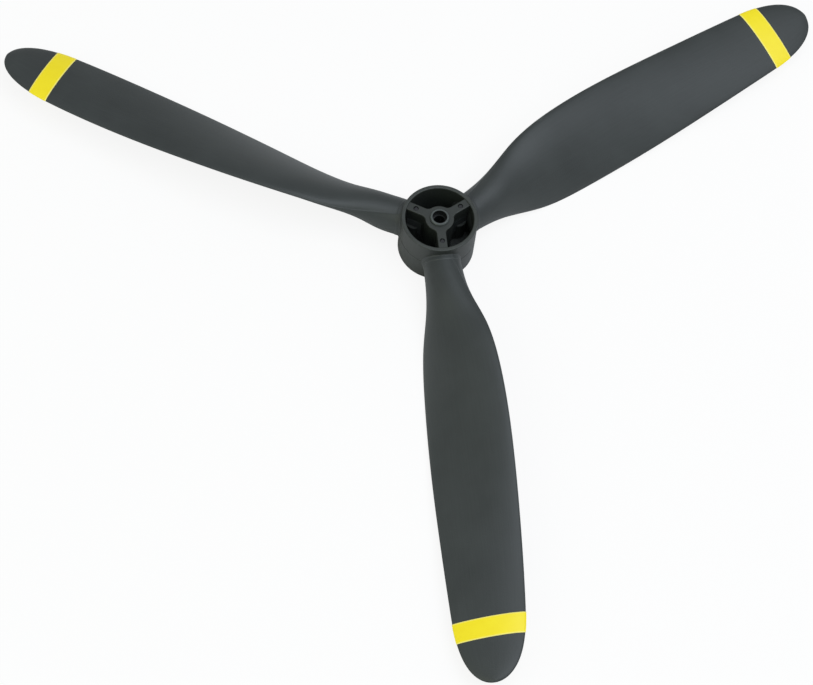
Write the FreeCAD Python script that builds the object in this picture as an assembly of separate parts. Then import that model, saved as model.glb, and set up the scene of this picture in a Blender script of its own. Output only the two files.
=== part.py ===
# Three-blade electric-model propeller with a two-piece clamp hub.
# Frame: +Z is the shaft axis and points to the front (open) face of the hub.
# The origin is on that axis, in the plane of the three blade axes. Blade 1 points to -Y.
import FreeCAD, Part
import math
import os

Vector = FreeCAD.Vector
os.makedirs("parts", exist_ok=True)

# ---- driving dimensions, millimetres and degrees ----
tip_diameter = 266.7          # 10.5 in across the circle that the tips sweep
blade_count = 3
first_blade_angle = 270.0     # direction of blade 1 about +Z, from +X

hub_radius = 10.6
barrel_wall = 1.15
front_height = 7.6            # front rim above the blade plane
rear_depth = 8.0              # rear face below the blade plane
rear_floor = 1.2
rim_round = 0.3
rear_edge_round = 0.6
seam_chamfer = 0.15           # outer edge of each half where the two meet

boss_radius = 4.0
spoke_width = 2.6
spoke_drop = 0.35             # face of the spokes and boss below the rim
spoke_fillet = 1.6            # inside corners between spokes and boss
spoke_round = 0.25            # upper edges of the spokes and boss

bore_radius = 1.6             # slides on a 1/8 in (3.175 mm) motor shaft
counterbore_radius = 2.0
counterbore_depth = 2.1
bush_wall = 0.6                # round the counterbore
bush_proud = 0.45             # ring that stands above the rim plane
bush_chamfer = 0.2
flange_wall = 1.2             # rear flange of the bush, beyond its sleeve
flange_thickness = 1.0

neck_inset = 0.4              # round neck of a blade, inside the thinnest part of its shank
neck_overlap = 1.0            # length of neck inside the aerofoil root
tongue_width = 2.6            # as wide as the spoke that it lies behind
tongue_height = 6.0
tongue_gap = 0.4              # between the end of a tongue and the boss

screw_inset = 2.35            # screw axis in from the bore of the barrel
screw_radius = 0.7
screw_head_radius = 1.3
screw_head_height = 1.0
screw_head_sink = 0.1         # head below the rear face
screw_tip_sink = 0.15         # tip below the spoke face
screw_slot_width = 0.4
screw_slot_depth = 0.5
post_wall = 0.9               # plastic round each screw head in the rear half

seat_gap = 0.05               # between each blade and the hub halves
bush_gap = 0.02               # between the bush and the hub halves
screw_gap = 0.03

band_to_tip = 11.8            # from the outer edge of a tip band to the tip
band_width = 5.7
band_thickness = 0.12
band_steps = 3                # sections along a band

# ---- blade laws: s runs from 0 at the barrel to 1 at the tip ----
chord_law = [(0.0, 11.0), (0.05, 12.2), (0.10, 14.9), (0.18, 20.8), (0.30, 24.0), (0.45, 23.9),
             (0.65, 21.9), (0.80, 20.0), (0.90, 18.6), (1.0, 17.6)]
thickness_law = [(0.0, 10.2), (0.07, 9.3), (0.14, 5.4), (0.23, 3.5), (0.40, 2.4), (0.70, 1.7), (1.0, 1.3)]
angle_law = [(0.0, 66.0), (0.05, 52.0), (0.10, 41.5), (0.20, 38.4), (0.30, 35.2), (0.50, 25.7),
             (0.70, 16.5), (0.82, 12.8), (1.0, 12.6)]
lead_law = [(0.0, 0.1), (0.06, 0.55), (0.20, 1.45), (0.50, 1.75), (0.80, 1.26), (1.0, 0.55)]
rake_law = [(0.0, 0.0), (0.15, -0.7), (0.30, -0.55), (0.60, -1.26), (0.80, -1.54), (1.0, -1.35)]
tip_round_start = 0.82        # s where the plan outline starts to round off
tip_round_power = 3.0
tip_blunt = 0.003             # s past the tip where the outline would close to a point
foil_start = 0.03             # s where the oval shank starts to turn into an aerofoil
foil_full = 0.24              # s from where the section is a full aerofoil
foil_nose = 0.28              # how far the thickness leans to the leading edge
foil_camber = 0.8             # camber over half thickness; 1 is a flat underside
section_points = 20
blade_sections = 28            # along the blade, closer together towards the tip

# ---- sizes that follow from them ----
tip_radius = tip_diameter / 2
barrel_bore_radius = hub_radius - barrel_wall
bush_radius = counterbore_radius + bush_wall
flange_radius = bush_radius + flange_wall
spoke_face = front_height - spoke_drop
bush_face = front_height + bush_proud
post_radius = screw_head_radius + post_wall
screw_circle_radius = barrel_bore_radius - screw_inset
neck_radius = thickness_law[0][1] / 2 - neck_inset
tongue_end = boss_radius + tongue_gap
band_outer_radius = tip_radius - band_to_tip
far = tip_diameter


def law(points):
    """A smooth curve through (s, value) points, as a function of s."""
    curve = Part.BSplineCurve()
    curve.interpolate(Points=[Vector(s, value, 0) for s, value in points],
                      Parameters=[s for s, value in points])
    return lambda s: curve.value(s).y


chord_at = law(chord_law)
thickness_at = law(thickness_law)
angle_at = law(angle_law)
lead_at = law(lead_law)
rake_at = law(rake_law)


def cylinder(radius, low, high):
    return Part.makeCylinder(radius, high - low, Vector(0, 0, low))


def ring(outer, inner, low, high):
    return cylinder(outer, low, high).cut(cylinder(inner, low - 1, high + 1))


def radial_cylinder(radius, start, end):
    """A cylinder along +X, the axis that every blade is modelled on."""
    return Part.makeCylinder(radius, end - start, Vector(start, 0, 0), Vector(1, 0, 0))


def radial_box(start, end, width, low, high):
    return Part.makeBox(end - start, width, high - low, Vector(start, -width / 2, low))


def blade_angle(index):
    return first_blade_angle + index * 360.0 / blade_count


def turned(shape, index):
    """A copy of a shape that is modelled on +X, turned to the place of one blade."""
    copy = shape.copy()
    copy.rotate(Vector(0, 0, 0), Vector(0, 0, 1), blade_angle(index))
    return copy


def at_each_blade(shape):
    return [turned(shape, index) for index in range(blade_count)]


# ---- blade ----
def tip_rounding(s):
    past = max(0.0, (s - tip_round_start) / (1 + tip_blunt - tip_round_start))
    return math.sqrt(max(0.0, 1 - past ** tip_round_power))


def foil_share(s):
    """0 where the section is the oval shank, 1 where it is an aerofoil."""
    share = min(1.0, max(0.0, (s - foil_start) / (foil_full - foil_start)))
    return share * share * (3 - 2 * share)


def section(s, radius, skin=0.0):
    """The front and rear curves of a blade section at a radius on +X, grown by skin all round.
    The leading edge is on the +Y side and the cambered face looks to +Z."""
    rounding = tip_rounding(s)
    half_chord = chord_at(s) / 2 * rounding + skin
    half_thick = thickness_at(s) / 2 * math.sqrt(rounding) + skin
    share = foil_share(s)
    angle = math.radians(angle_at(s))
    points = []
    for step in range(section_points):
        turn = 2 * math.pi * step / section_points
        along = half_chord * math.cos(turn)
        lean = 1 + foil_nose * share * math.cos(turn)
        up = half_thick * math.sin(turn) * lean
        up += foil_camber * share * (half_thick - skin) * math.sin(turn) ** 2
        y = lead_at(s) + along * math.cos(angle) - up * math.sin(angle)
        z = rake_at(s) + along * math.sin(angle) + up * math.cos(angle)
        points.append(Vector(radius, y, z))
    outline = Part.BSplineCurve()
    outline.interpolate(Points=points, PeriodicFlag=True, Parameters=list(range(section_points + 1)))
    sides = []
    for start, end in ((0, section_points / 2), (section_points / 2, section_points)):
        side = outline.copy()
        side.segment(start, end)
        sides.append(side)
    return sides


def skin_solid(sections, places):
    """Solid through blade sections, smooth along the blade, with flat ends."""
    faces = []
    for index in (0, 1):
        across = sections[0][index]
        rows = []
        for column in zip(*[sides[index].getPoles() for sides in sections]):
            rail = Part.BSplineCurve()
            rail.interpolate(Points=list(column), Parameters=places)
            rows.append(rail.getPoles())
        surface = Part.BSplineSurface()
        surface.buildFromPolesMultsKnots(rows, across.getMultiplicities(), rail.getMultiplicities(),
                                         across.getKnots(), rail.getKnots(), False, False,
                                         across.Degree, rail.Degree)
        faces.append(surface.toShape())
    for sides in (sections[0], sections[-1]):
        faces.append(Part.Face(Part.Wire([side.toShape() for side in sides])))
    shell = Part.makeShell(faces)
    shell.sewShape()
    solid = Part.makeSolid(shell)
    if solid.Volume < 0:
        solid.reverse()
    return solid


def station_radius(s):
    return hub_radius + s * (tip_radius - hub_radius)


def station_of(radius):
    return (radius - hub_radius) / (tip_radius - hub_radius)


def make_aerofoil():
    places = [math.sin(math.pi / 2 * step / blade_sections) for step in range(blade_sections + 1)]
    places.insert(0, station_of(barrel_bore_radius - barrel_wall))
    return skin_solid([section(s, station_radius(s)) for s in places], places)


def wall_plug(radius, end, gap):
    """A round bar through the wall of the barrel, ending a gap inside the bore's surface."""
    return radial_cylinder(radius, boss_radius, end).cut(cylinder(barrel_bore_radius - gap, -far, far))


def make_blade(aerofoil):
    """Aerofoil seated on the barrel, with its round neck and flat tongue inside the hub."""
    outside = aerofoil.cut(cylinder(hub_radius + seat_gap, -far, far))
    neck = wall_plug(neck_radius, hub_radius + neck_overlap, 0)
    tongue = radial_box(tongue_end, hub_radius, tongue_width, -tongue_height / 2, tongue_height / 2)
    hole = Part.makeCylinder(screw_radius + screw_gap, tongue_height + 2,
                             Vector(screw_circle_radius, 0, -tongue_height / 2 - 1))
    return outside.fuse([neck, tongue]).removeSplitter().cut(hole)


def make_band(aerofoil):
    """Yellow sleeve wrapped round the blade near its tip."""
    start = band_outer_radius - band_width
    places = [start + band_width * step / band_steps for step in range(band_steps + 1)]
    sections = [section(station_of(radius), radius, band_thickness) for radius in places]
    return skin_solid(sections, places).cut(aerofoil)


# ---- hub ----
def blade_room():
    """What a blade takes out of the hub halves: its neck and tongue, and the seat gap."""
    socket = wall_plug(neck_radius + seat_gap, far, seat_gap)
    slot = radial_box(tongue_end - seat_gap, hub_radius, tongue_width + 2 * seat_gap,
                      -tongue_height / 2 - seat_gap, tongue_height / 2 + seat_gap)
    return socket.fuse(slot)


def round_edges(shape, radius, wanted):
    edges = [edge for edge in shape.Edges if wanted(edge)]
    return shape.makeFillet(radius, edges)


def is_circle_at(edge, height, radius):
    box = edge.BoundBox
    flat = abs(box.ZMin - height) < 1e-4 and abs(box.ZMax - height) < 1e-4
    return flat and abs(box.XMax - radius) < 1e-3


def chamfer_edge(shape, size, height):
    """Breaks the outer edge of the barrel at one height."""
    edges = [edge for edge in shape.Edges if is_circle_at(edge, height, hub_radius)]
    return shape.makeChamfer(size, edges)


def is_spoke_rim(edge):
    """An upper edge of the spokes or boss, but not the hidden end of a spoke."""
    box = edge.BoundBox
    flat = abs(box.ZMin - spoke_face) < 1e-4 and abs(box.ZMax - spoke_face) < 1e-4
    return flat and math.hypot(box.Center.x, box.Center.y) < barrel_bore_radius


def is_spoke_corner(edge):
    """An upright edge where the side of a spoke meets the boss."""
    box = edge.BoundBox
    middle = box.Center
    on_boss = abs(math.hypot(middle.x, middle.y) - boss_radius) < 0.01
    upright = box.ZLength > 1 and box.XLength < 0.01 and box.YLength < 0.01
    return on_boss and upright


def screw_bore(radius, low, high):
    return Part.makeCylinder(radius, high - low, Vector(screw_circle_radius, 0, low))


def make_hub_front():
    """Front half: open barrel, three spokes, and the boss that holds the bush."""
    spoke = radial_box(0, hub_radius - barrel_wall / 2, spoke_width, 0, spoke_face)
    core = cylinder(boss_radius, 0, spoke_face).fuse(at_each_blade(spoke)).removeSplitter()
    core = round_edges(core, spoke_fillet, is_spoke_corner)
    core = round_edges(core, spoke_round, is_spoke_rim)
    barrel = ring(hub_radius, barrel_bore_radius, 0, front_height)
    barrel = chamfer_edge(barrel, seam_chamfer, 0)
    for radius in (hub_radius, barrel_bore_radius):
        barrel = round_edges(barrel, rim_round,
                             lambda edge, radius=radius: is_circle_at(edge, front_height, radius))
    half = barrel.fuse(core).removeSplitter()
    half = half.cut(cylinder(bush_radius + bush_gap, -1, front_height + 1))
    bore = screw_bore(screw_radius + screw_gap, -1, front_height + 1)
    return half.cut(at_each_blade(blade_room()) + at_each_blade(bore))


def make_hub_rear():
    """Rear half: closed floor, barrel, boss, and a post and rib under each tongue."""
    shell = cylinder(hub_radius, -rear_depth, 0)
    shell = round_edges(shell, rear_edge_round, lambda edge: is_circle_at(edge, -rear_depth, hub_radius))
    shell = chamfer_edge(shell, seam_chamfer, 0)
    hollow = ring(barrel_bore_radius, boss_radius, -rear_depth + rear_floor, 1)
    rib_foot = -rear_depth + rear_floor / 2
    rib = radial_box(boss_radius / 2, hub_radius - barrel_wall / 2, spoke_width, rib_foot, 0)
    post = screw_bore(post_radius, rib_foot, 0)
    inside = cylinder(barrel_bore_radius + barrel_wall / 2, -rear_depth, 1)
    half = shell.cut(hollow).fuse(at_each_blade(rib.fuse(post).common(inside))).removeSplitter()
    sleeve_bore = cylinder(bush_radius + bush_gap, -rear_depth - 1, 1)
    flange_seat = cylinder(flange_radius + bush_gap, -rear_depth - 1, -rear_depth + flange_thickness)
    bore = screw_bore(screw_radius + screw_gap, -rear_depth - 1, 1)
    head_seat = screw_bore(screw_head_radius + screw_gap, -rear_depth - 1,
                           -rear_depth + screw_head_sink + screw_head_height)
    holes = at_each_blade(bore.fuse(head_seat))
    return half.cut([sleeve_bore, flange_seat] + at_each_blade(blade_room()) + holes)


def make_bush():
    """Stepped shaft bush, pushed in from the rear until its flange seats."""
    sleeve = cylinder(bush_radius, -rear_depth, bush_face)
    top_edges = [edge for edge in sleeve.Edges if is_circle_at(edge, bush_face, bush_radius)]
    sleeve = sleeve.makeChamfer(bush_chamfer, top_edges)
    flange = cylinder(flange_radius, -rear_depth, -rear_depth + flange_thickness)
    bush = sleeve.fuse(flange).removeSplitter()
    bush = bush.cut(cylinder(bore_radius, -rear_depth - 1, bush_face + 1))
    return bush.cut(cylinder(counterbore_radius, bush_face - counterbore_depth, bush_face + 1))


def make_screw():
    """Self-tapping screw from the rear, through the rear half and a tongue, into a spoke."""
    seat = -rear_depth + screw_head_sink
    shank = screw_bore(screw_radius, seat, spoke_face - screw_tip_sink)
    head = screw_bore(screw_head_radius, seat, seat + screw_head_height)
    slot = Part.makeBox(4 * screw_head_radius, screw_slot_width, 2 * screw_slot_depth,
                        Vector(screw_circle_radius - 2 * screw_head_radius, -screw_slot_width / 2,
                               seat - screw_slot_depth))
    return head.fuse(shank).removeSplitter().cut(slot)


def save(shape, node):
    if not shape.isValid():
        raise ValueError(node + " isn't a valid shape")
    shape.exportStep("parts/" + node + ".step")
    print(node, len(shape.Solids), "solid(s)", round(shape.Volume, 2), "mm3")


aerofoil = make_aerofoil()
blade = make_blade(aerofoil)
band = make_band(aerofoil)
for number in range(blade_count):
    save(turned(blade, number), "blade_%d" % (number + 1))
    save(turned(band, number), "tip_band_%d" % (number + 1))
save(make_hub_front(), "hub_front")
save(make_hub_rear(), "hub_rear")
save(make_bush(), "shaft_bush")
save(Part.makeCompound(at_each_blade(make_screw())), "hub_screws")
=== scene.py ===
# Three-blade model aircraft propeller with a two-piece clamp hub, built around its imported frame.
import bmesh
import bpy
import math
import numpy as np
from mathutils import Matrix, Vector


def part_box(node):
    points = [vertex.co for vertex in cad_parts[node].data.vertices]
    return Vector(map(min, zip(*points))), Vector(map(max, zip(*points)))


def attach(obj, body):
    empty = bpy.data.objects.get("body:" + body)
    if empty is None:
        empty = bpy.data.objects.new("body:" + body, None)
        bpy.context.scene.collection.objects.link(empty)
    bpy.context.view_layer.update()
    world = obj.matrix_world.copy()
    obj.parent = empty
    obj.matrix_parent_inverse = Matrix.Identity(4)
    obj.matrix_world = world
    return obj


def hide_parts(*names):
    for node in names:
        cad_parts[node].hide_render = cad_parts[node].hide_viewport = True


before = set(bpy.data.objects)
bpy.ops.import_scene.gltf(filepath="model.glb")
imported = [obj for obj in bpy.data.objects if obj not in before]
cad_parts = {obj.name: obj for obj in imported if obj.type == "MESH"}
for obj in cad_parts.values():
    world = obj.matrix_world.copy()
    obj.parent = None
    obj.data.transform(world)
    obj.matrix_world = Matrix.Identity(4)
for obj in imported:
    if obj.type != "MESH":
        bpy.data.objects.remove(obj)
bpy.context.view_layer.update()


# ---- Studio ----
# A pale paper sweep under the propeller, a large soft box high on its right, a weaker one
# on its left, and an even pale surround. The lens sees the sweep close to white.
scene = bpy.context.scene
mm = 0.001


def linear(code):
    """An sRGB hex colour as linear RGBA."""
    parts = [int(code[i:i + 2], 16) / 255 for i in (1, 3, 5)]
    return [c / 12.92 if c <= 0.04045 else ((c + 0.055) / 1.055) ** 2.4 for c in parts] + [1.0]


def add(tree, kind, inputs=None, **settings):
    """One node with its settings. An input gets a value, a socket, or a node's first output."""
    node = tree.nodes.new(kind)
    for name, value in settings.items():
        setattr(node, name, value)
    for name, source in (inputs or {}).items():
        if isinstance(source, bpy.types.Node):
            source = source.outputs[0]
        if isinstance(source, bpy.types.NodeSocket):
            tree.links.new(source, node.inputs[name])
        else:
            node.inputs[name].default_value = source
    return node


def new_material(name):
    material = bpy.data.materials.new(name)
    material.use_nodes = True
    material.node_tree.nodes.clear()
    return material, material.node_tree


def new_piece(name, data):
    piece = bpy.data.objects.new(name, data)
    scene.collection.objects.link(piece)
    return piece


# Matt paper: an even white with no gloss. It lies a hair under the hub, so that the two don't
# flicker through each other. So that the hub's base shows from below, and in some light, the
# paper is clear from below and to a ray that has come less than a millimetre.
sweep_half = 1.5
sweep_gap = 0.02 * mm
sweep_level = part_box("hub_rear")[0][2] - sweep_gap
seen_white = 0.88        # share of full white in what the lens sees of the sweep
clear_length = 1.0 * mm
sweep_material, tree = new_material("matt_paper_sweep")
paper = add(tree, "ShaderNodeBsdfDiffuse", {"Color": linear("#F4F4F4")})
glow = add(tree, "ShaderNodeEmission", {"Color": linear("#FFFFFF"), "Strength": 1.0})
ray = add(tree, "ShaderNodeLightPath").outputs
share = add(tree, "ShaderNodeMath", {0: ray["Is Camera Ray"], 1: seen_white}, operation="MULTIPLY")
seen = add(tree, "ShaderNodeMixShader", {0: share, 1: paper, 2: glow})
side = add(tree, "ShaderNodeNewGeometry").outputs
close = add(tree, "ShaderNodeMath", {0: ray["Ray Length"], 1: clear_length}, operation="LESS_THAN")
passed = add(tree, "ShaderNodeMath", {0: side["Backfacing"], 1: close}, operation="MAXIMUM")
clear = add(tree, "ShaderNodeBsdfTransparent")
one_way = add(tree, "ShaderNodeMixShader", {0: passed, 1: seen, 2: clear})
add(tree, "ShaderNodeOutputMaterial", {"Surface": one_way})
sweep_mesh = bpy.data.meshes.new("paper_sweep")
corners = [(x * sweep_half, y * sweep_half, sweep_level) for x, y in ((-1, -1), (1, -1), (1, 1), (-1, 1))]
sweep_mesh.from_pydata(corners, [], [(0, 1, 2, 3)])
sweep_mesh.materials.append(sweep_material)
new_piece("paper_sweep", sweep_mesh)

surround_light = 0.4     # its strength on the propeller; to the lens it is full white
world = bpy.data.worlds.new("pale_surround")
scene.world = world
world.use_nodes = True
tree = world.node_tree
tree.nodes.clear()
ray = add(tree, "ShaderNodeLightPath").outputs
strength = add(tree, "ShaderNodeMapRange",
               {"Value": ray["Is Camera Ray"], "To Min": surround_light, "To Max": 1.0})
surround = add(tree, "ShaderNodeBackground", {"Color": linear("#FFFFFF"), "Strength": strength})
add(tree, "ShaderNodeOutputWorld", {"Surface": surround})

# Each lamp: its place, width and power, and its tint.
for name, place, width, power, colour in (
        ("key_soft_box", (0.25, -0.12, 0.85), 0.8, 5.4, "#ECF4FF"),
        ("fill_soft_box", (-0.6, -0.35, 0.5), 0.6, 1.4, "#F6FFD8")):
    light = bpy.data.lights.new(name, "AREA")
    light.size = width
    light.energy = power
    light.color = linear(colour)[:3]
    lamp = new_piece(name, light)
    lamp.location = place
    lamp.rotation_euler = (-Vector(place)).to_track_quat("-Z", "Y").to_euler()
scene.view_settings.view_transform = "Standard"

# ---- Camera ----
# A long lens high in front of the propeller, a little to its left, and rolled so that the
# lowest blade leans to the right.
azimuth = math.radians(-12.86)
elevation = math.radians(61.11)
roll = math.radians(8.01)
camera_distance = 805.3 * mm
camera_aim = Vector((-12.15, -34.1, 0)) * mm
back = Vector((math.sin(azimuth) * math.cos(elevation), -math.cos(azimuth) * math.cos(elevation),
               math.sin(elevation)))
level = (-back).cross(Vector((0, 0, 1))).normalized()
rise = level.cross(-back)
across = level * math.cos(roll) + rise * math.sin(roll)
upward = rise * math.cos(roll) - level * math.sin(roll)
lens = bpy.data.cameras.new("camera")
lens.lens = 131.87
lens.sensor_width = 36
lens.clip_start = 0.05
camera = new_piece("camera", lens)
camera.matrix_world = Matrix((across, upward, back)).transposed().to_4x4()
camera.location = camera_aim + back * camera_distance
scene.camera = camera

# ---- Blades ----
# Three equal blades of glass-filled nylon, each injection moulded in one shot: a nearly round
# shank that flattens and twists into a slender aerofoil. A fine parting line runs round the
# edge, and a round neck and flat tongue hold the blade in the hub.
hub_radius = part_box("hub_rear")[1][0]
tip_radius = -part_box("blade_1")[0][1]


def smooth_curve(points, places):
    """Values at places along the smooth cubic curve through (s, value) points."""
    spots, values = np.array(points).T
    gaps = np.diff(spots)
    rises = np.diff(values) / gaps
    balance = np.zeros((len(spots), len(spots)))
    pull = np.zeros(len(spots))
    balance[0, 0] = balance[-1, -1] = 1
    pull[0] = ((2 * gaps[0] + gaps[1]) * rises[0] - gaps[0] * rises[1]) / (gaps[0] + gaps[1])
    pull[-1] = ((2 * gaps[-1] + gaps[-2]) * rises[-1] - gaps[-1] * rises[-2]) / (gaps[-1] + gaps[-2])
    for i in range(1, len(spots) - 1):
        balance[i, i - 1:i + 2] = gaps[i], 2 * (gaps[i - 1] + gaps[i]), gaps[i - 1]
        pull[i] = 3 * (gaps[i] * rises[i - 1] + gaps[i - 1] * rises[i])
    slopes = np.linalg.solve(balance, pull)
    part = np.clip(np.searchsorted(spots, places) - 1, 0, len(gaps) - 1)
    gap = gaps[part]
    t = (places - spots[part]) / gap
    return ((1 + 2 * t) * (1 - t) ** 2 * values[part] + t * (1 - t) ** 2 * gap * slopes[part]
            + t ** 2 * (3 - 2 * t) * values[part + 1] + t ** 2 * (t - 1) * gap * slopes[part + 1])


# Each law gives a size along the blade against s, from 0 at the barrel to 1 at the tip, and
# the unit that it is in.
laws = {
    "half chord": (mm / 2, [(0.0, 11.0), (0.05, 12.2), (0.10, 14.9), (0.18, 20.8), (0.30, 24.0), (0.45, 23.9),
                            (0.65, 21.9), (0.80, 20.0), (0.90, 18.6), (1.0, 17.6)]),
    "half thickness": (mm / 2, [(0.0, 10.2), (0.07, 9.3), (0.14, 5.4), (0.23, 3.5), (0.40, 2.4), (0.70, 1.7),
                                (1.0, 1.3)]),
    "angle": (math.radians(1), [(0.0, 66.0), (0.05, 52.0), (0.10, 41.5), (0.20, 38.4), (0.30, 35.2),
                                (0.50, 25.7), (0.70, 16.5), (0.82, 12.8), (1.0, 12.6)]),
    "lead": (mm, [(0.0, 0.1), (0.06, 0.55), (0.20, 1.45), (0.50, 1.75), (0.80, 1.26), (1.0, 0.55)]),
    "rake": (mm, [(0.0, 0.0), (0.15, -0.7), (0.30, -0.55), (0.60, -1.26), (0.80, -1.54), (1.0, -1.35)]),
}
law_start = -0.02        # a little inside the barrel
law_knots = 52
ridge_sharpness = 1500.0
collar_flat = 0.85       # share of the collar's length that keeps its full height

shape = bpy.data.node_groups.new("blade_shape", "GeometryNodeTree")
shape.interface.new_socket("Geometry", in_out="OUTPUT", socket_type="NodeSocketGeometry")
shape.interface.new_socket("Geometry", in_out="INPUT", socket_type="NodeSocketGeometry")
for name in ("Hub Radius", "Tip Radius", "Turn", "Foil Start", "Foil Full", "Nose Lean", "Camber",
             "Tip Round Start", "Tip Round Power", "Parting Ridge", "Root Fillet", "Collar Length",
             "Collar Height", "Seat Depth"):
    shape.interface.new_socket(name, in_out="INPUT", socket_type="NodeSocketFloat")
shape.interface.new_socket("Material", in_out="INPUT", socket_type="NodeSocketMaterial")
given = add(shape, "NodeGroupInput").outputs
# The plan that comes in holds s in X, the turn round the section in Y and extra skin in Z.
plan = add(shape, "ShaderNodeSeparateXYZ", {0: add(shape, "GeometryNodeInputPosition")}).outputs
at_s = {}
for name, (unit, points) in laws.items():
    places = np.linspace(law_start, 1.0, law_knots)
    values = smooth_curve(points, places)
    largest = float(max(abs(values)))
    curve = add(shape, "ShaderNodeFloatCurve", {"Value": plan["X"]})
    curve.mapping.use_clip = False
    knots = curve.mapping.curves[0].points
    for place in places[2:]:
        knots.new(place, 0.0)
    for knot, place, value in zip(knots, places, values):
        knot.location = (place, value / largest)
    curve.mapping.update()
    at_s[name] = add(shape, "ShaderNodeMath", {0: curve, 1: largest * unit}, operation="MULTIPLY")

# Past the start of the tip's rounding the chord falls to nothing, and the thickness more slowly.
past = add(shape, "ShaderNodeMapRange", {"Value": plan["X"], "From Min": given["Tip Round Start"]})
fallen = add(shape, "ShaderNodeMath", {0: past, 1: given["Tip Round Power"]}, operation="POWER")
left = add(shape, "ShaderNodeMath", {0: 1.0, 1: fallen}, operation="SUBTRACT")
rounding = add(shape, "ShaderNodeMath", {0: left}, operation="SQRT")
thinning = add(shape, "ShaderNodeMath", {0: rounding}, operation="SQRT")
foil = add(shape, "ShaderNodeMapRange",
           {"Value": plan["X"], "From Min": given["Foil Start"], "From Max": given["Foil Full"]},
           interpolation_type="SMOOTHSTEP")
cosine = add(shape, "ShaderNodeMath", {0: plan["Y"]}, operation="COSINE")
sine = add(shape, "ShaderNodeMath", {0: plan["Y"]}, operation="SINE")

# Along the chord: half of it and the skin, with the fine parting ridge on its two edges.
reach = add(shape, "ShaderNodeMath", {0: at_s["half chord"], 1: rounding, 2: plan["Z"]},
            operation="MULTIPLY_ADD")
aside = add(shape, "ShaderNodeMath", {0: reach, 1: cosine}, operation="MULTIPLY")
nearness = add(shape, "ShaderNodeMath", {0: cosine}, operation="ABSOLUTE")
peak = add(shape, "ShaderNodeMath", {0: nearness, 1: ridge_sharpness}, operation="POWER")
which_edge = add(shape, "ShaderNodeMath", {0: cosine}, operation="SIGN")
edge = add(shape, "ShaderNodeMath", {0: peak, 1: which_edge}, operation="MULTIPLY")
along = add(shape, "ShaderNodeMath", {0: edge, 1: given["Parting Ridge"], 2: aside}, operation="MULTIPLY_ADD")

# Across it: half the thickness and the skin, fuller towards the nose, on an arched middle line.
body = add(shape, "ShaderNodeMath", {0: at_s["half thickness"], 1: thinning}, operation="MULTIPLY")
depth = add(shape, "ShaderNodeMath", {0: body, 1: plan["Z"]})
height = add(shape, "ShaderNodeMath", {0: depth, 1: sine}, operation="MULTIPLY")
nose = add(shape, "ShaderNodeMath", {0: given["Nose Lean"], 1: foil}, operation="MULTIPLY")
lean = add(shape, "ShaderNodeMath", {0: nose, 1: cosine, 2: 1.0}, operation="MULTIPLY_ADD")
swell = add(shape, "ShaderNodeMath", {0: height, 1: lean}, operation="MULTIPLY")
bow = add(shape, "ShaderNodeMath", {0: given["Camber"], 1: foil}, operation="MULTIPLY")
plain = add(shape, "ShaderNodeMath", {0: body, 1: sine}, operation="MULTIPLY")
arch = add(shape, "ShaderNodeMath", {0: bow, 1: plain}, operation="MULTIPLY")
over = add(shape, "ShaderNodeMath", {0: arch, 1: sine, 2: swell}, operation="MULTIPLY_ADD")

# The section is twisted to the blade's angle and set at its own radius, lead and rake.
section = add(shape, "ShaderNodeCombineXYZ", {"Y": along, "Z": over})
twisted = add(shape, "ShaderNodeVectorRotate", {"Vector": section, "Angle": at_s["angle"]},
              rotation_type="X_AXIS")
span = add(shape, "ShaderNodeMath", {0: given["Tip Radius"], 1: given["Hub Radius"]}, operation="SUBTRACT")
radius = add(shape, "ShaderNodeMath", {0: plan["X"], 1: span, 2: given["Hub Radius"]},
             operation="MULTIPLY_ADD")
centre = add(shape, "ShaderNodeCombineXYZ", {"X": radius, "Y": at_s["lead"], "Z": at_s["rake"]})
placed = add(shape, "ShaderNodeVectorMath", {0: twisted, 1: centre})

# The shank ends in a thin collar, which flares into the barrel through a small fillet.
spot = add(shape, "ShaderNodeSeparateXYZ", {0: placed}).outputs
y_squared = add(shape, "ShaderNodeMath", {0: spot["Y"], 1: spot["Y"]}, operation="MULTIPLY")
both_squared = add(shape, "ShaderNodeMath", {0: spot["X"], 1: spot["X"], 2: y_squared},
                   operation="MULTIPLY_ADD")
from_axis = add(shape, "ShaderNodeMath", {0: both_squared}, operation="SQRT")
clear = add(shape, "ShaderNodeMath", {0: from_axis, 1: given["Hub Radius"]}, operation="SUBTRACT")
part = add(shape, "ShaderNodeMath", {0: clear, 1: given["Root Fillet"]}, operation="DIVIDE")
near = add(shape, "ShaderNodeMath", {0: 1.0, 1: part}, operation="SUBTRACT", use_clamp=True)
near_squared = add(shape, "ShaderNodeMath", {0: near, 1: near}, operation="MULTIPLY")
rest = add(shape, "ShaderNodeMath", {0: 1.0, 1: near_squared}, operation="SUBTRACT")
quarter = add(shape, "ShaderNodeMath", {0: rest}, operation="SQRT")
opened = add(shape, "ShaderNodeMath", {0: 1.0, 1: quarter}, operation="SUBTRACT")
flare = add(shape, "ShaderNodeMath", {0: given["Root Fillet"], 1: opened}, operation="MULTIPLY")
collar_edge = add(shape, "ShaderNodeMath", {0: given["Collar Length"], 1: collar_flat}, operation="MULTIPLY")
collar = add(shape, "ShaderNodeMapRange",
             {"Value": clear, "From Min": collar_edge, "From Max": given["Collar Length"],
              "To Min": given["Collar Height"], "To Max": 0.0})
proud = add(shape, "ShaderNodeMath", {0: flare, 1: collar})
outward = add(shape, "ShaderNodeCombineXYZ", {"Y": cosine, "Z": sine})
turned_out = add(shape, "ShaderNodeVectorRotate", {"Vector": outward, "Angle": at_s["angle"]},
                 rotation_type="X_AXIS")
push = add(shape, "ShaderNodeVectorMath", {0: turned_out, "Scale": proud}, operation="SCALE")
flared = add(shape, "ShaderNodeVectorMath", {0: placed, 1: push})

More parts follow.
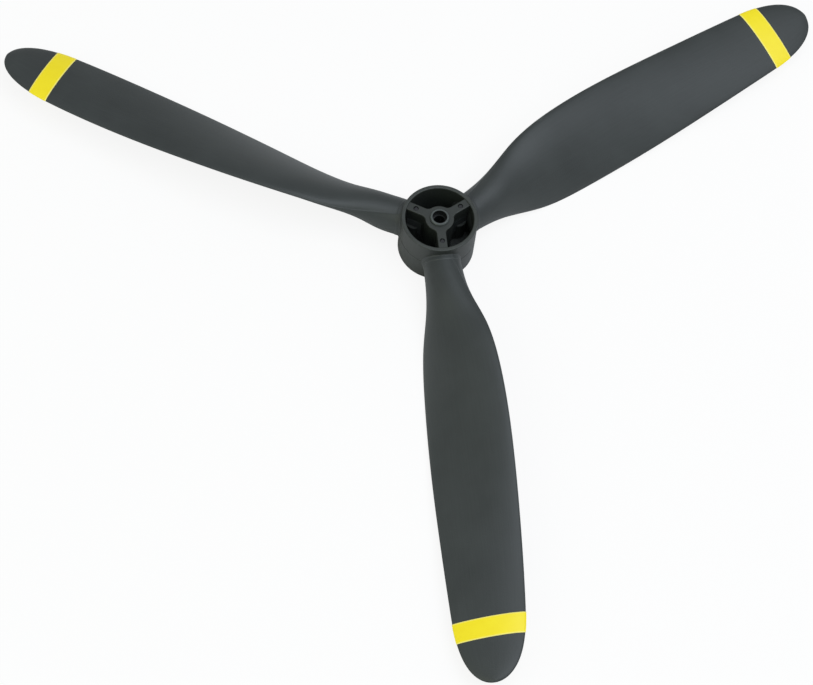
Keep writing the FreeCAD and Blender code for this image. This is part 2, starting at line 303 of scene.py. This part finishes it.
# Its inner end lies just under the barrel's surface, all the way round.
spot = add(shape, "ShaderNodeSeparateXYZ", {0: flared}).outputs
seat = add(shape, "ShaderNodeMath", {0: given["Hub Radius"], 1: given["Seat Depth"]}, operation="SUBTRACT")
seat_squared = add(shape, "ShaderNodeMath", {0: seat, 1: seat}, operation="MULTIPLY")
y_squared = add(shape, "ShaderNodeMath", {0: spot["Y"], 1: spot["Y"]}, operation="MULTIPLY")
x_squared = add(shape, "ShaderNodeMath", {0: seat_squared, 1: y_squared}, operation="SUBTRACT")
wall = add(shape, "ShaderNodeMath", {0: x_squared}, operation="SQRT")
outer_x = add(shape, "ShaderNodeMath", {0: spot["X"], 1: wall}, operation="MAXIMUM")
kept = add(shape, "ShaderNodeCombineXYZ", {"X": outer_x, "Y": spot["Y"], "Z": spot["Z"]})
facing = add(shape, "ShaderNodeVectorRotate", {"Vector": kept, "Angle": given["Turn"]},
             rotation_type="Z_AXIS")
moved = add(shape, "GeometryNodeSetPosition", {"Geometry": given["Geometry"], "Position": facing})
smoothed = add(shape, "GeometryNodeSetShadeSmooth", {"Geometry": moved})
real = add(shape, "GeometryNodeRealizeInstances", {"Geometry": smoothed})
painted = add(shape, "GeometryNodeSetMaterial", {"Geometry": real, "Material": given["Material"]})
add(shape, "NodeGroupOutput", {"Geometry": painted})


def section_plan(name, rows, turns):
    """A tube laid out flat: a point at each (s, skin) row and turn, closed round each section."""
    around = len(turns)
    spots = [(s, turn, skin) for s, skin in rows for turn in turns]
    faces = []
    for row in range(len(rows) - 1):
        for step in range(around):
            beside = (step + 1) % around
            faces.append((row * around + step, row * around + beside,
                          (row + 1) * around + beside, (row + 1) * around + step))
    mesh = bpy.data.meshes.new(name)
    mesh.from_pydata(spots, [], faces)
    layer = mesh.uv_layers.new(name="along_and_round")
    ends = turns[1:] + [math.tau]
    for face_number, polygon in enumerate(mesh.polygons):
        row, step = divmod(face_number, around)
        sides = (turns[step], ends[step])
        for loop, (down, beside) in zip(polygon.loop_indices, ((0, 0), (0, 1), (1, 1), (1, 0))):
            layer.data[loop].uv = (rows[row + down][0], sides[beside] / math.tau)
    return mesh


def run_tree(piece, tree, inputs):
    """Runs a node tree on a piece and keeps its result as the piece's plain mesh."""
    modifier = piece.modifiers.new(tree.name, "NODES")
    modifier.node_group = tree
    for item in tree.interface.items_tree:
        if item.in_out == "INPUT" and item.name in inputs:
            modifier[item.identifier] = inputs[item.name]
    shown = piece.evaluated_get(bpy.context.evaluated_depsgraph_get())
    result = bpy.data.meshes.new_from_object(shown)
    piece.modifiers.remove(modifier)
    piece.data = result


merge_distance = 0.0001 * mm


def close_and_face_out(piece, extra=None):
    """Fills the open ends, turns all faces outwards and adds the meshes of a bmesh function."""
    work = bmesh.new()
    work.from_mesh(piece.data)
    bmesh.ops.remove_doubles(work, verts=work.verts, dist=merge_distance)
    bmesh.ops.holes_fill(work, edges=[edge for edge in work.edges if edge.is_boundary], sides=0)
    if extra:
        extra(work)
    bmesh.ops.recalc_face_normals(work, faces=work.faces)
    work.to_mesh(piece.data)
    work.free()


# Glass-filled nylon has a dry satin skin: fine grain from the mould, faint streaks along the
# flow where the glass shows, and edges painted a little paler, as wear and, at the hub's rim, also as a
# painted highlight.
# The streaks are about 14 mm long and 0.3 mm wide: a ninth of a blade, and 160 to its girth.
streaks_along = 9.0
streaks_round = 160.0


def moulded_nylon(name, dark, pale, worn_and_highlit_tone, streaks, wear_and_highlight):
    """Nylon between two tones, and the share of it that the given mask paints paler: wear, and on the hub's
    rim a painted highlight too.
    """
    material, tree = new_material(name)
    place = add(tree, "ShaderNodeTexCoord").outputs
    cloudy = add(tree, "ShaderNodeTexNoise",
                 {"Vector": place["Object"], "Scale": 1 / (14 * mm), "Detail": 3.0, "Roughness": 0.55})
    along_flow = add(tree, "ShaderNodeMapping",
                     {"Vector": place["UV"], "Scale": (streaks_along, streaks_round, 1.0)})
    flow = add(tree, "ShaderNodeTexNoise", {"Vector": along_flow, "Scale": 1.0, "Detail": 4.0})
    blend = add(tree, "ShaderNodeMix", {"A": cloudy, "B": flow, "Factor": streaks})
    tone = add(tree, "ShaderNodeMapRange", {"Value": blend, "From Min": 0.3, "From Max": 0.7})
    base = add(tree, "ShaderNodeMix", {"Factor": tone, 6: linear(dark), 7: linear(pale)}, data_type="RGBA")
    worn_and_highlit = add(tree, "ShaderNodeMix",
                  {"Factor": wear_and_highlight(tree, place), 6: base.outputs[2], 7: linear(worn_and_highlit_tone)}, data_type="RGBA")
    # Mould grain is about 0.05 mm; it is drawn at 0.35 mm so that it shows.
    grain = add(tree, "ShaderNodeTexNoise",
                {"Vector": place["Object"], "Scale": 1 / (0.35 * mm), "Detail": 2.0})
    relief = add(tree, "ShaderNodeBump", {"Height": grain, "Strength": 0.5, "Distance": 0.05 * mm})
    satin = add(tree, "ShaderNodeMapRange", {"Value": cloudy, "To Min": 0.44, "To Max": 0.58})
    skin = add(tree, "ShaderNodeBsdfPrincipled",
               {"Base Color": worn_and_highlit.outputs[2], "Roughness": satin, "Normal": relief, "IOR": 1.52})
    add(tree, "ShaderNodeOutputMaterial", {"Surface": skin})
    return material


def sharp_edges(tree, place):
    """Wear on the blades: Pointiness is high on their thin edges and ridges."""
    form = add(tree, "ShaderNodeNewGeometry").outputs
    return add(tree, "ShaderNodeMapRange",
               {"Value": form["Pointiness"], "From Min": 0.53, "From Max": 0.62, "To Max": 0.35})


blade_nylon = moulded_nylon("injection_moulded_nylon_blade", "#2A2F2F", "#353A3A", "#545958", 0.35,
                            sharp_edges)

blade_form = {"Hub Radius": hub_radius, "Tip Radius": tip_radius, "Foil Start": 0.03, "Foil Full": 0.24,
              "Nose Lean": 0.28, "Camber": 0.8, "Tip Round Start": 0.82, "Tip Round Power": 3.0,
              "Parting Ridge": 0.1 * mm, "Root Fillet": 0.25 * mm,
              "Collar Length": 1.3 * mm, "Collar Height": 0.1 * mm, "Seat Depth": 0.3 * mm}
# The first blade points along -Y, and the others follow it round at equal turns.
blade_turns = [math.radians(270 + 120 * number) for number in range(3)]
blade_rows = 200
collar_rows = 40
row_offset = 0.37        # keeps the collar's rows off the others
collar_zone = (-0.5 * mm, 1.6 * mm)
root_start = -0.013      # the shank's first row, a little inside the barrel
# Points round a section lie closer together at the two edges, so that the parting line is crisp.
even_count = 72
even_turns = [math.tau * step / even_count for step in range(even_count)]
edge_steps = (0.02, 0.035, 0.055)
edge_turns = [edge + side * step for edge in (0, math.pi) for side in (-1, 1) for step in edge_steps]
round_turns = sorted(even_turns + [turn % math.tau for turn in edge_turns])
barrel_wall = 1.15 * mm
barrel_bore_radius = hub_radius - barrel_wall
neck_radius = 4.7 * mm
neck_points = 64
tongue_size = (4.7 * mm, 2.6 * mm, 6.0 * mm)
tongue_inner_end = 4.4 * mm
tongue_bevel = 0.25 * mm


def add_neck_and_tongue(turn):
    """The round neck in the barrel's wall, flush with its bore, and the flat tongue behind it."""
    def build(work):
        facing = Matrix.Rotation(turn, 4, "Z")
        rings = []
        for inner in (True, False):
            ring = []
            for step in range(neck_points):
                across = neck_radius * math.cos(math.tau * step / neck_points)
                up = neck_radius * math.sin(math.tau * step / neck_points)
                depth = math.sqrt(barrel_bore_radius ** 2 - across ** 2) if inner else hub_radius
                ring.append(work.verts.new(facing @ Vector((depth, across, up))))
            rings.append(ring)
        for step in range(neck_points):
            beside = (step + 1) % neck_points
            work.faces.new((rings[0][step], rings[0][beside], rings[1][beside], rings[1][step]))
        for ring, depth in zip(rings, (barrel_bore_radius, hub_radius)):
            middle = work.verts.new(facing @ Vector((depth, 0, 0)))
            for step in range(neck_points):
                work.faces.new((ring[step], ring[(step + 1) % neck_points], middle))
        place = Matrix.Translation((tongue_inner_end + tongue_size[0] / 2, 0, 0))
        sized = Matrix.Diagonal((*tongue_size, 1))
        block = bmesh.ops.create_cube(work, size=1, matrix=facing @ place @ sized)
        edges = {edge for vert in block["verts"] for edge in vert.link_edges}
        bmesh.ops.bevel(work, geom=list(edges), offset=tongue_bevel, segments=3, profile=0.5, affect="EDGES")
    return build


for number, turn in enumerate(blade_turns, 1):
    steps = [(1 - math.cos(math.pi * row / blade_rows)) / 2 for row in range(blade_rows + 1)]
    places = [root_start + (1 - root_start) * step for step in steps]
    low, high = [distance / (tip_radius - hub_radius) for distance in collar_zone]
    places += [low + (high - low) * (step + row_offset) / collar_rows for step in range(collar_rows)]
    rows = [(place, 0.0) for place in sorted(places)]
    blade = new_piece("moulded_blade_%d" % number, section_plan("blade_plan", rows, round_turns))
    run_tree(blade, shape, dict(blade_form, Turn=turn, Material=blade_nylon))
    close_and_face_out(blade, add_neck_and_tongue(turn))
    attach(blade, "root")
    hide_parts("blade_%d" % number)

# ---- Tip bands ----
# A yellow film wrapped once round each blade near the tip, square to it. It is thin, so it
# follows the blade's section, and its cut edges stand a hair above the nylon.
band_span = (115.85 * mm, 121.55 * mm)
film = 0.12 * mm
film_under = -0.06 * mm  # its inner face lies in the nylon, so that no gap shows
film_edge = 0.08 * mm


def s_at(radius):
    """The place along the blade at a radius."""
    return (radius - hub_radius) / (tip_radius - hub_radius)


# Cast vinyl film: even, smooth and a little soft in its gloss, with a paler strip painted along
# each cut edge as a highlight of its thickness.
band_material, tree = new_material("cast_vinyl_film_yellow")
place = add(tree, "ShaderNodeTexCoord").outputs
mottle = add(tree, "ShaderNodeTexNoise", {"Vector": place["Object"], "Scale": 1 / (3 * mm), "Detail": 3.0})
base = add(tree, "ShaderNodeMix", {"Factor": mottle, 6: linear("#FAE30C"), 7: linear("#FFEC1C")},
           data_type="RGBA")
along = add(tree, "ShaderNodeSeparateXYZ", {0: place["UV"]}).outputs
# Painted highlight: a paler strip along each cut edge of the film.
edge_highlight_width = 0.45 * mm / (tip_radius - hub_radius)
low_side = add(tree, "ShaderNodeMapRange",
               {"Value": along["X"], "From Min": s_at(band_span[0]),
                "From Max": s_at(band_span[0]) + edge_highlight_width, "To Min": 1.0, "To Max": 0.0})
high_side = add(tree, "ShaderNodeMapRange",
                {"Value": along["X"], "From Min": s_at(band_span[1]) - edge_highlight_width,
                 "From Max": s_at(band_span[1])})
either = add(tree, "ShaderNodeMath", {0: low_side, 1: high_side}, operation="MAXIMUM")
pale = add(tree, "ShaderNodeMath", {0: either, 1: 0.8}, operation="MULTIPLY")
film_colour = add(tree, "ShaderNodeMix", {"Factor": pale, 6: base.outputs[2], 7: linear("#FFF59A")},
                  data_type="RGBA")
orange_peel = add(tree, "ShaderNodeTexNoise", {"Vector": place["Object"], "Scale": 1 / (0.8 * mm)})
relief = add(tree, "ShaderNodeBump", {"Height": orange_peel, "Strength": 0.25, "Distance": 0.03 * mm})
skin = add(tree, "ShaderNodeBsdfPrincipled",
           {"Base Color": film_colour.outputs[2], "Normal": relief, "Roughness": 0.42, "IOR": 1.5})
add(tree, "ShaderNodeOutputMaterial", {"Surface": skin})

band_steps = 16
# Each is laid by hand: how far it sits off its line, and how far its leading end runs ahead.
band_slips = ((-0.4 * mm, -0.25 * mm), (0.2 * mm, 0.1 * mm), (0.0, 0.0))
for number, (turn, (slip, slant)) in enumerate(zip(blade_turns, band_slips), 1):
    low, high = band_span
    top = [(low + (high - low) * step / band_steps, film) for step in range(1, band_steps)]
    loop = ([(low, film_under), (low, film - film_edge), (low + film_edge, film)] + top
            + [(high - film_edge, film), (high, film - film_edge), (high, film_under), (low, film_under)])
    rows = [(s_at(radius), skin_depth) for radius, skin_depth in loop]
    plan_mesh = section_plan("band_plan", rows, round_turns)
    for point in plan_mesh.vertices:
        point.co.x += (slip + slant * math.cos(point.co.y)) / (tip_radius - hub_radius)
    band = new_piece("yellow_tip_band_%d" % number, plan_mesh)
    run_tree(band, shape, dict(blade_form, Turn=turn, Material=band_material))
    close_and_face_out(band)
    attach(band, "root")
    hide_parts("tip_band_%d" % number)

# ---- Hub halves ----
# Two moulded nylon drums that clamp the blades between them. The front one is open, with three
# spokes and a boss; the rear one is closed. They meet in a fine seam. Their outer corners are painted
# paler: at the rear face as wear, at the rim as wear and a painted highlight.
rim_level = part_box("hub_front")[1][2]
rear_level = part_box("hub_rear")[0][2]
worn_and_highlit_height = 0.35 * mm
worn_and_highlit_width = 1.3 * mm


def worn_and_highlit_rims(tree, place):
    """Paler marks on the drums: wear at the rear face's corner, and wear with a painted highlight at the open
    rim.
    """
    spot = add(tree, "ShaderNodeSeparateXYZ", {0: place["Object"]}).outputs
    # The rim's paler band is partly wear and partly a painted highlight where the rim catches the light.
    at_rim = add(tree, "ShaderNodeMapRange",
                 {"Value": spot["Z"], "From Min": rim_level - worn_and_highlit_height,
                  "From Max": rim_level, "To Max": 0.4})
    at_rear = add(tree, "ShaderNodeMapRange",
                  {"Value": spot["Z"], "From Min": rear_level + worn_and_highlit_height,
                   "From Max": rear_level + 0.1 * mm, "To Max": 0.3})
    flat = add(tree, "ShaderNodeCombineXYZ", {"X": spot["X"], "Y": spot["Y"]})
    from_axis = add(tree, "ShaderNodeVectorMath", {0: flat}, operation="LENGTH").outputs["Value"]
    outer = add(tree, "ShaderNodeMath", {0: from_axis, 1: hub_radius - worn_and_highlit_width}, operation="GREATER_THAN")
    either = add(tree, "ShaderNodeMath", {0: at_rim, 1: at_rear}, operation="MAXIMUM")
    patchy = add(tree, "ShaderNodeTexNoise", {"Vector": place["Object"], "Scale": 1 / (2.5 * mm)})
    share = add(tree, "ShaderNodeMath", {0: either, 1: patchy}, operation="MULTIPLY")
    return add(tree, "ShaderNodeMath", {0: share, 1: outer}, operation="MULTIPLY")


hub_nylon = moulded_nylon("injection_moulded_nylon_hub", "#222724", "#2B302D", "#4A4F4C", 0.0, worn_and_highlit_rims)
for name in ("hub_front", "hub_rear"):
    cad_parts[name].data.materials.clear()
    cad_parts[name].data.materials.append(hub_nylon)

# ---- Shaft bush ----
# A stepped bush of black acetal, turned on a lathe and pushed in from the rear. It shows fine
# turning rings and a greyer, waxier sheen than the hub, and its bore is painted dark as shade.
counterbore_radius = 2.0 * mm
ring_pitch = 0.12 * mm   # coarser than a fine feed, so that the rings show
bore_shade_edge = (0.02 * mm, 0.12 * mm)
acetal, tree = new_material("turned_acetal_bush")
place = add(tree, "ShaderNodeTexCoord").outputs
spot = add(tree, "ShaderNodeSeparateXYZ", {0: place["Object"]}).outputs
flat = add(tree, "ShaderNodeCombineXYZ", {"X": spot["X"], "Y": spot["Y"]})
from_axis = add(tree, "ShaderNodeVectorMath", {0: flat}, operation="LENGTH").outputs["Value"]
# The lathe's feed is along the radius on a face and along the axis on a barrel.
feed = add(tree, "ShaderNodeMath", {0: from_axis, 1: spot["Z"]})
rings = add(tree, "ShaderNodeMath", {0: feed, 1: math.tau / ring_pitch}, operation="MULTIPLY")
groove = add(tree, "ShaderNodeMath", {0: rings}, operation="SINE")
relief = add(tree, "ShaderNodeBump", {"Height": groove, "Strength": 0.2, "Distance": 0.01 * mm})
cloudy = add(tree, "ShaderNodeTexNoise", {"Vector": place["Object"], "Scale": 1 / (1.5 * mm)})
base = add(tree, "ShaderNodeMix", {"Factor": cloudy, 6: linear("#414746"), 7: linear("#525857")},
           data_type="RGBA")
# Painted shade: everything within the counterbore's radius is darkened, standing in for the shade inside the
# bore.
bore_shade_mask = add(tree, "ShaderNodeMapRange",
              {"Value": from_axis, "From Min": counterbore_radius + bore_shade_edge[0],
               "From Max": counterbore_radius + bore_shade_edge[1], "To Min": 1.0, "To Max": 0.0})
bore_shaded = add(tree, "ShaderNodeMix", {"Factor": bore_shade_mask, 6: base.outputs[2], 7: linear("#1B1E1E")},
              data_type="RGBA")
skin = add(tree, "ShaderNodeBsdfPrincipled",
           {"Base Color": bore_shaded.outputs[2], "Normal": relief, "Roughness": 0.4, "IOR": 1.48})
add(tree, "ShaderNodeOutputMaterial", {"Surface": skin})
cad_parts["shaft_bush"].data.materials.clear()
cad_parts["shaft_bush"].data.materials.append(acetal)

# ---- Hub screws ----
# Three slotted self-tapping screws of black-oxide steel. Each goes in from the rear, through a
# blade's tongue, and cuts its thread in a spoke of the front half, where its tip just shows.
screw_circle = 7.1 * mm
screw_radius = 0.7 * mm
head_radius = 1.3 * mm
head_height = 1.0 * mm
slot_width = 0.4 * mm
slot_depth = 0.5 * mm
rim_chamfer = 0.02 * mm
screw_chamfer = 0.1 * mm
screw_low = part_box("hub_screws")[0][2]
screw_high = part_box("hub_screws")[1][2]
screw_points = 28
half_rim_steps = 14
overlap = 0.05 * mm      # the shank starts inside the head, and the slotted half inside its base
thread_pitch = 0.6 * mm
thread_depth = 0.14 * mm
rounding_room = 0.001 * mm   # so that no point of the shank is missed
steps_per_pitch = 8


def add_prism(work, outline, low, high, chamfer):
    """A straight block on an outline, its lower edge chamfered by drawing it in to its middle."""
    middle = sum((Vector(spot) for spot in outline), Vector((0, 0))) / len(outline)
    drawn_in = [middle.lerp(Vector(spot), 1 - chamfer / (Vector(spot) - middle).length) for spot in outline]
    rings = []
    for ring, height in ((drawn_in, low), (outline, low + chamfer), (outline, high)):
        rings.append([work.verts.new((spot[0], spot[1], height)) for spot in ring])
    for lower, upper in zip(rings, rings[1:]):
        for step in range(len(outline)):
            beside = (step + 1) % len(outline)
            work.faces.new((lower[step], lower[beside], upper[beside], upper[step]))
    work.faces.new(rings[0][::-1])
    work.faces.new(rings[-1])


# One screw, head down. Its shank is a fine tube, so that the tree can cut a thread in it.
work = bmesh.new()
rounds = [(math.cos(math.tau * step / screw_points), math.sin(math.tau * step / screw_points))
          for step in range(screw_points)]
rim = [(head_radius * x, head_radius * y) for x, y in rounds]
add_prism(work, rim, screw_low + slot_depth, screw_low + head_height, rim_chamfer)
slot_corner = math.asin(slot_width / 2 / head_radius)
for side in (0, math.pi):
    turns = [side + slot_corner + (math.pi - 2 * slot_corner) * step / half_rim_steps
             for step in range(half_rim_steps + 1)]
    half_rim = [(head_radius * math.cos(turn), head_radius * math.sin(turn)) for turn in turns]
    add_prism(work, half_rim, screw_low, screw_low + slot_depth + overlap / 2, screw_chamfer)
shank_low = screw_low + head_height - overlap
shank_steps = round((screw_high - shank_low) / thread_pitch * steps_per_pitch)
heights = [shank_low + (screw_high - shank_low) * step / shank_steps for step in range(shank_steps + 1)]
profile = [(height, screw_radius) for height in heights[:-1]] + [(screw_high, screw_radius - screw_chamfer)]
rings = [[work.verts.new((radius * x, radius * y, height)) for x, y in rounds]
         for height, radius in profile]
for lower, upper in zip(rings, rings[1:]):
    for step in range(screw_points):
        beside = (step + 1) % screw_points
        work.faces.new((lower[step], lower[beside], upper[beside], upper[step]))
work.faces.new(rings[0][::-1])
work.faces.new(rings[-1])
screw_mesh = bpy.data.meshes.new("one_screw")
work.to_mesh(screw_mesh)
work.free()

# The tree cuts the thread and sets one screw at each blade.
screws_tree = bpy.data.node_groups.new("screws_round_the_hub", "GeometryNodeTree")
screws_tree.interface.new_socket("Geometry", in_out="OUTPUT", socket_type="NodeSocketGeometry")
screws_tree.interface.new_socket("Geometry", in_out="INPUT", socket_type="NodeSocketGeometry")
for name in ("Circle Radius", "Shank Radius", "Thread Depth", "Thread Pitch", "Thread Start"):
    screws_tree.interface.new_socket(name, in_out="INPUT", socket_type="NodeSocketFloat")
screws_tree.interface.new_socket("Count", in_out="INPUT", socket_type="NodeSocketInt")
screws_tree.interface.new_socket("Material", in_out="INPUT", socket_type="NodeSocketMaterial")
given = add(screws_tree, "NodeGroupInput").outputs
spot = add(screws_tree, "ShaderNodeSeparateXYZ", {0: add(screws_tree, "GeometryNodeInputPosition")}).outputs

# The thread is a groove that falls and rises once for each pitch and winds once for each turn.
angle = add(screws_tree, "ShaderNodeMath", {0: spot["Y"], 1: spot["X"]}, operation="ARCTAN2")
turns = add(screws_tree, "ShaderNodeMath", {0: angle, 1: math.tau}, operation="DIVIDE")
rise = add(screws_tree, "ShaderNodeMath", {0: spot["Z"], 1: given["Thread Pitch"]}, operation="DIVIDE")
phase = add(screws_tree, "ShaderNodeMath", {0: rise, 1: turns}, operation="SUBTRACT")
from_root = add(screws_tree, "ShaderNodeMath", {0: phase, 1: 0.5}, operation="PINGPONG")
groove = add(screws_tree, "ShaderNodeMapRange", {"Value": from_root, "From Min": 0.1, "From Max": 0.4})
cut = add(screws_tree, "ShaderNodeMath", {0: groove, 1: given["Thread Depth"]}, operation="MULTIPLY")
inwards = add(screws_tree, "ShaderNodeMath", {0: cut, 1: -1.0}, operation="MULTIPLY")
flat = add(screws_tree, "ShaderNodeCombineXYZ", {"X": spot["X"], "Y": spot["Y"]})
outwards = add(screws_tree, "ShaderNodeVectorMath", {0: flat}, operation="NORMALIZE")
step_in = add(screws_tree, "ShaderNodeVectorMath", {0: outwards, "Scale": inwards}, operation="SCALE")

# Only the shank beyond the plain part under the head is cut.
from_axis = add(screws_tree, "ShaderNodeVectorMath", {0: flat}, operation="LENGTH").outputs["Value"]
slim = add(screws_tree, "FunctionNodeCompare", {0: from_axis, 1: given["Shank Radius"]},
           operation="LESS_EQUAL")
above = add(screws_tree, "FunctionNodeCompare", {0: spot["Z"], 1: given["Thread Start"]},
            operation="GREATER_THAN")
on_shank = add(screws_tree, "FunctionNodeBooleanMath", {0: slim, 1: above})
threaded = add(screws_tree, "GeometryNodeSetPosition",
               {"Geometry": given["Geometry"], "Selection": on_shank, "Offset": step_in})

# The circle's first point is turned to the first blade.
circle = add(screws_tree, "GeometryNodeMeshCircle",
             {"Vertices": given["Count"], "Radius": given["Circle Radius"]})
turned = add(screws_tree, "GeometryNodeTransform", {"Geometry": circle, "Rotation": (0, 0, blade_turns[0])})
spread = add(screws_tree, "GeometryNodeInstanceOnPoints", {"Points": turned, "Instance": threaded})
real = add(screws_tree, "GeometryNodeRealizeInstances", {"Geometry": spread})
painted = add(screws_tree, "GeometryNodeSetMaterial", {"Geometry": real, "Material": given["Material"]})
add(screws_tree, "NodeGroupOutput", {"Geometry": painted})

# Black oxide on steel: nearly black, with a dull oily glint and a fine speckle.
steel, tree = new_material("black_oxide_steel_screw")
place = add(tree, "ShaderNodeTexCoord").outputs
speckle = add(tree, "ShaderNodeTexNoise", {"Vector": place["Object"], "Scale": 1 / (0.4 * mm), "Detail": 3.0})
dull = add(tree, "ShaderNodeMapRange", {"Value": speckle, "To Min": 0.35, "To Max": 0.55})
oxide = add(tree, "ShaderNodeMix", {"Factor": speckle, 6: linear("#2E2F31"), 7: linear("#4A4A4C")},
            data_type="RGBA")
skin = add(tree, "ShaderNodeBsdfPrincipled",
           {"Base Color": oxide.outputs[2], "Roughness": dull, "Metallic": 1.0})
add(tree, "ShaderNodeOutputMaterial", {"Surface": skin})

screws = new_piece("slotted_hub_screws", screw_mesh)
run_tree(screws, screws_tree, {"Circle Radius": screw_circle, "Shank Radius": screw_radius + rounding_room,
                               "Thread Depth": thread_depth, "Thread Pitch": thread_pitch,
                               "Thread Start": shank_low + head_height, "Count": len(blade_turns),
                               "Material": steel})
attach(screws, "root")
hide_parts("hub_screws")
